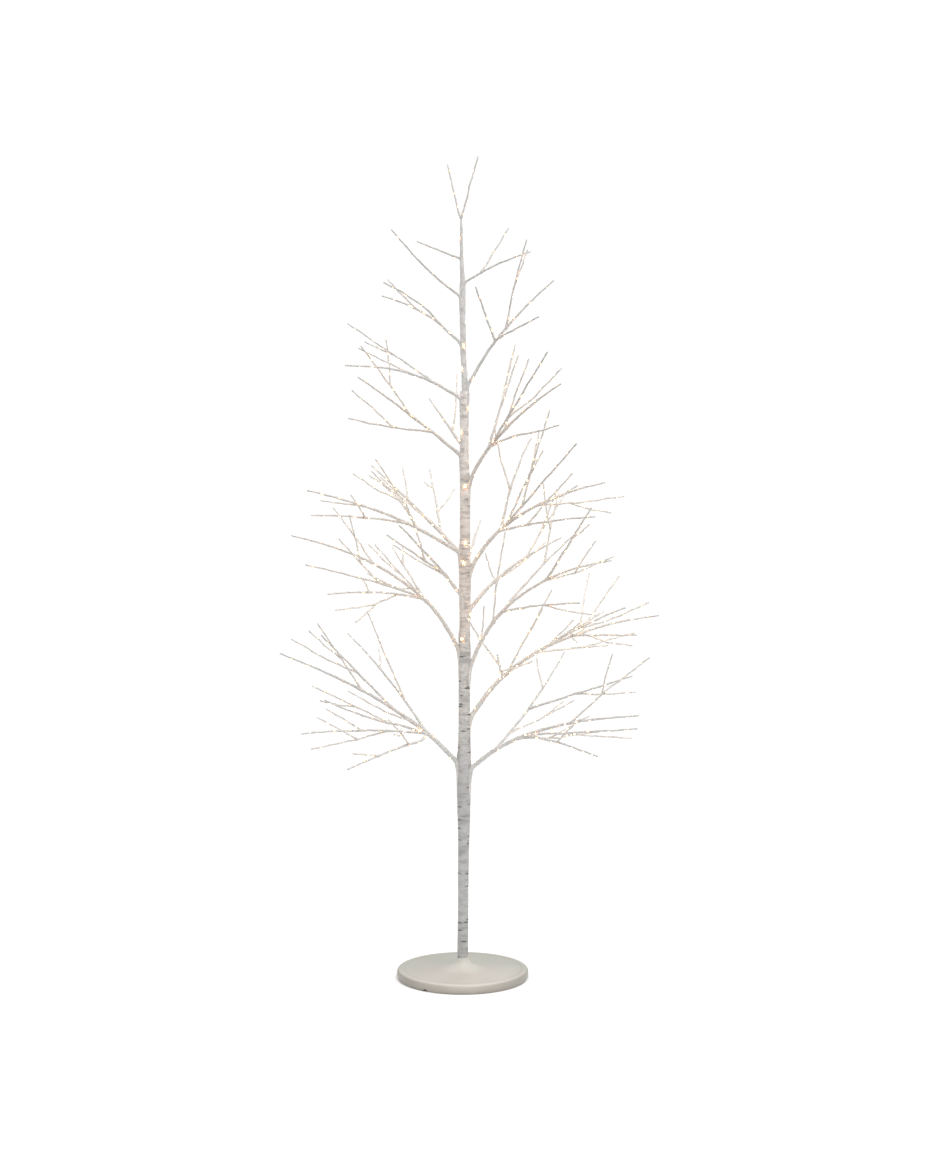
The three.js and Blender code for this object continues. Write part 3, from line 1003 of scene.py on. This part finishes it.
def bough_line(name, trunk, girth):
    """A bough's line and radii from the frame, carried down the side of the trunk."""
    rings = clean_rings(name, CAD_SIDES["bough"])
    root_radius = max(r for _, r in rings[:2]) * BOUGH_SWELL
    points = down_the_trunk(rings, trunk, girth, root_radius) + [c for c, _ in rings]
    line = smooth_line(points, BOUGH_STEP)
    return line, tapered(line, root_radius, LIMB_TIP_RADIUS, ease=1.0)


def clear_of_trunk(line, radii, trunk, girth):
    """The index of the first point of a bough's line that stands clear of the trunk's side."""
    near = np.array([trunk[nearest_on(trunk[:, 2:], point[2:])] for point in line])
    away = np.linalg.norm((line - near)[:, :2], axis=1)
    return int(np.argmax(away > np.interp(line[:, 2], *girth) + radii))


def make_bough(bough, trunk, girth, tape, twigs):
    """One bough with its limbs, wound with tape. Gives the strands that carry lights."""
    shells, strands = [], []
    names = limb_names(bough)
    lines = {bough: bough_line(bough, trunk, girth)}
    limbs = [n for n in names if n != bough]
    for name in sorted(limbs, key=lambda n: (n in LATE_LIMBS, n)):
        parents = [line for line, _ in lines.values()]
        lines[name] = limb_line(name, parents)
    for name in lines:
        line, radii = lines[name]
        line = kinked(line, LIMB_KINK)
        free = clear_of_trunk(line, radii, trunk, girth) if name == bough else 0
        bound_share = free / (len(line) - 1)
        knots = [bound_share + (1 - bound_share) * k for k in grow_twigs(line[free:], twigs)]
        radii = knobbly(line, radii, knots, 0.2 if name == bough else 0.35)
        shells.append(strand_shell(line, radii, BOUGH_SIDES, TAPE_THICKNESS["bough"]))
        strands.append((line[free:], radii[free:]))
    piece = joined_shells(f"{bough}_wound", shells)
    settle(piece, tape, names)
    return strands


def bough_roots(names):
    """Height and bearing of each bough where it leaves the trunk."""
    roots = []
    for name in names:
        rings = clean_rings(name, CAD_SIDES["bough"])
        out = rings[-1][0] - rings[0][0]
        height = rings[0][0][2]
        roots.append((float(height), math.atan2(out[1], out[0])))
    return roots


# ---------------------------------------------------------------- lights and their wire
def drop_shape(radius, stretch):
    """A ball drawn out lengthways to a blunt point, centred on the origin: points and faces."""
    deselect()
    bpy.ops.mesh.primitive_uv_sphere_add(segments=10, ring_count=7, radius=radius)
    drop = bpy.context.object
    bpy.ops.object.mode_set(mode="EDIT")
    bpy.ops.mesh.select_all(action="SELECT")
    bpy.ops.transform.resize(value=(1, 1, stretch), center_override=(0, 0, 0))
    bpy.ops.mesh.select_all(action="DESELECT")
    bpy.ops.object.mode_set(mode="OBJECT")
    for vertex in drop.data.vertices:
        vertex.select = vertex.co.z > 0.4 * radius
    bpy.ops.object.mode_set(mode="EDIT")
    bpy.ops.transform.resize(value=(0.8, 0.8, 1), center_override=(0, 0, radius))
    bpy.ops.object.mode_set(mode="OBJECT")
    points = np.array([v.co for v in drop.data.vertices])
    faces = [tuple(face.vertices) for face in drop.data.polygons]
    bpy.data.objects.remove(drop)
    return points, faces


def wound_line(line, radii, spread):
    """A helix along a strand, at its surface, with the phase of each of its points."""
    run = distances(line)
    count = max(4, int(round(run[-1] / WIRE_STEP)))
    marks = np.linspace(0, run[-1], count + 1)
    along, first, second = strand_frames(line)

    def at(values):
        return np.column_stack([np.interp(marks, run, values[:, k]) for k in range(3)])

    angle = 2 * math.pi * marks / WIRE_PITCH + CHANCE.uniform(0, 2 * math.pi)
    out = np.cos(angle)[:, None] * at(first) + np.sin(angle)[:, None] * at(second)
    reach = np.interp(marks, run, radii) + spread
    return at(line) + reach[:, None] * out, out, at(along)


def place_drops(line, radii, spacing, size, shapes, drops, diodes):
    """Resin drops beside a strand, each with its diode, lying along the wire. Gives the wire."""
    drop_form, diode_form = shapes
    wire, out, along = wound_line(line, radii, WIRE_RADIUS)
    shell_of_wire = strand_shell(wire, np.full(len(wire), WIRE_RADIUS), 4, 0)
    length = full_length(line)
    count = max(1, int(round(length / spacing)))
    marks = (np.arange(count) + CHANCE.uniform(0.3, 0.7, count)) / count
    for i in sorted({int(m * (len(wire) - 1)) for m in marks}):
        lean = along[i] + out[i] * CHANCE.uniform(-0.2, 0.5)
        place = wire[i] + out[i] * DROP_RADIUS * 0.7 * size
        drops.append(turned_drop(drop_form, size, place, lean))
        diodes.append(turned_drop(diode_form, size, place + out[i] * 0.2 * MM, lean))
    return shell_of_wire


def turned_drop(shape, size, place, up):
    """A drop's shape, scaled, stood up along a direction and moved to its place."""
    points, faces = shape
    up = unit(up)
    side = np.cross(up, (0.4, 0.9, 0.1))
    side = unit(side)
    other = np.cross(up, side)
    turned = place + size * points @ np.array([side, other, up])
    winds = [(0.5, 0.5)] * sum(len(face) for face in faces)
    return turned, faces, winds


def trunk_lights(line, girth, low, high):
    """A strand for the lights that climb the trunk: the trunk's own line over a stretch."""
    keep = (line[:, 2] > low) & (line[:, 2] < high)
    part = line[keep]
    return part, np.interp(part[:, 2], *girth)


# ---------------------------------------------------------------- studio
def make_floor(paint):
    deselect()
    bpy.ops.mesh.primitive_plane_add(size=FLOOR_SIZE, location=(0, 0, 0))
    floor = bpy.context.object
    floor.name = "floor"
    floor.data.materials.append(paint)


def light_studio():
    """A white room, brightest overhead, and seen as plain white itself. A broad even light from
    high on the right, nearer the viewer, does the rest and whitens the floor to match."""
    world = bpy.data.worlds.new("studio_white")
    world.use_nodes = True
    tree = world.node_tree
    background = tree.nodes["Background"]
    background.inputs["Color"].default_value = (1, 1, 1, 1)
    direction = node(tree, "ShaderNodeTexCoord").outputs["Generated"]
    height = node(tree, "ShaderNodeSeparateXYZ", {"Vector": direction}).outputs["Z"]
    lit = node(
        tree,
        "ShaderNodeMapRange",
        {"Value": height, "To Min": WALL_LIGHT, "To Max": CEILING_LIGHT},
    ).outputs[0]
    seen = node(tree, "ShaderNodeLightPath").outputs["Is Camera Ray"]
    strength = node(tree, "ShaderNodeMix", {0: seen, 2: lit, 3: 1.05}, data_type="FLOAT")
    tree.links.new(strength.outputs[0], background.inputs["Strength"])
    bpy.context.scene.world = world
    deselect()
    bpy.ops.object.light_add(type="SUN", location=(2, -2, 4))
    lamp = bpy.context.object
    lamp.name = "broad_light"
    lamp.data.energy = BROAD_LIGHT
    lamp.data.angle = math.radians(60)
    lamp.rotation_euler = Vector(BROAD_LIGHT_AIM).to_track_quat("-Z", "Y").to_euler()
    bpy.context.scene.view_settings.view_transform = "Standard"


# ---------------------------------------------------------------- the tree
add_camera()
bark = bark_paper()
# one paper tape, given painted light and shade by zone: grey low down, cream in the middle and palest
# at the top
bough_tape = {
    "low": paper_tape("crepe_tape_grey", "#D7D5D3", "#D0CECB", "#C5C2BE"),
    "middle": paper_tape("crepe_tape_cream", "#E4DFD9", "#DDD7D0", "#D2CAC1"),
    "high": paper_tape("crepe_tape_palest", "#E6E4E2", "#DFDDDA", "#D5D2CF"),
}
twig_tape = {
    "low": paper_tape("fine_tape_grey", "#E4DFD9", "#DED8D1", "#D4CDC5"),
    "middle": paper_tape("fine_tape_cream", "#F4ECE3", "#EEE6DC", "#E4DACF"),
    "high": paper_tape("fine_tape_palest", "#F0ECE8", "#EAE6E1", "#E1DCD6"),
}
pole_paper = paper_tape("smooth_pole_tape", "#E8E7E6", "#E2E0DE", "#D9D6D2")

make_base(moulded_plastic())

bough_names = sorted(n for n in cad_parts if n.startswith("bough_") and n.count("_") == 1)
roots = bough_roots(bough_names)
trunk_top_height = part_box("trunk")[1].z
lower_roots = [r for r in roots if r[0] < trunk_top_height + POLE_JOINT_REACH]
upper_roots = [r for r in roots if r[0] >= trunk_top_height + POLE_JOINT_REACH]
lower_line, lower_girth = make_trunk(
    "trunk_wrapped", "trunk", bark, lower_roots, PAPER_SEAM_HEIGHTS
)
upper_line, upper_girth = make_trunk(
    "trunk_top_wound", "trunk_top", pole_paper, upper_roots, ()
)
trunk = np.vstack([lower_line, upper_line])
girth = (lower_girth[0] + upper_girth[0], lower_girth[1] + upper_girth[1])

twigs, lit = {zone: [] for zone in ZONE_TOPS}, []
for bough_name, (root_height, _) in zip(bough_names, roots):
    zone = next(zone for zone, top in ZONE_TOPS.items() if root_height < top)
    lit += make_bough(bough_name, trunk, girth, bough_tape[zone], twigs[zone])

for leader in ("leader_left", "leader_right"):
    line, radii = limb_line(leader, [trunk])
    line = kinked(line, LIMB_KINK)
    radii = knobbly(line, radii, [], 0.3)
    shell = strand_shell(line, radii, BOUGH_SIDES, TAPE_THICKNESS["leader"])
    piece = joined_shells(f"{leader}_wound", [shell])
    settle(piece, twig_tape["high"], [leader])
    lit.append((line, radii))

for zone, strands in twigs.items():
    tape = TAPE_THICKNESS["twig"]
    shells = [strand_shell(line, radii, TWIG_SIDES, tape) for line, radii in strands]
    settle(joined_shells(f"twigs_{zone}_wound", shells), twig_tape[zone], [])
    lit += strands
trunk_lit = [
    trunk_lights(lower_line, lower_girth, TRUNK_LIGHTS_FROM, trunk_top_height - 10 * MM),
    trunk_lights(upper_line, upper_girth, trunk_top_height + 10 * MM, TRUNK_LIGHTS_TO),
]
shapes = (drop_shape(DROP_RADIUS, 1.5), drop_shape(DIODE_RADIUS, 1.3))
drops, diodes, wires = [], [], []
for line, radii in lit:
    wires.append(place_drops(line, radii, LIGHT_SPACING, 1.0, shapes, drops, diodes))
for line, radii in trunk_lit:
    wire = place_drops(line, radii, TRUNK_LIGHT_SPACING, TRUNK_LIGHT_SIZE, shapes, drops, diodes)
    wires.append(wire)
settle(joined_shells("light_drops", drops), amber_resin(), [])
settle(joined_shells("light_diodes", diodes), lit_diode(), [])
settle(joined_shells("light_wire", wires), clear_wire(), [])

make_floor(floor_paint())
light_studio()
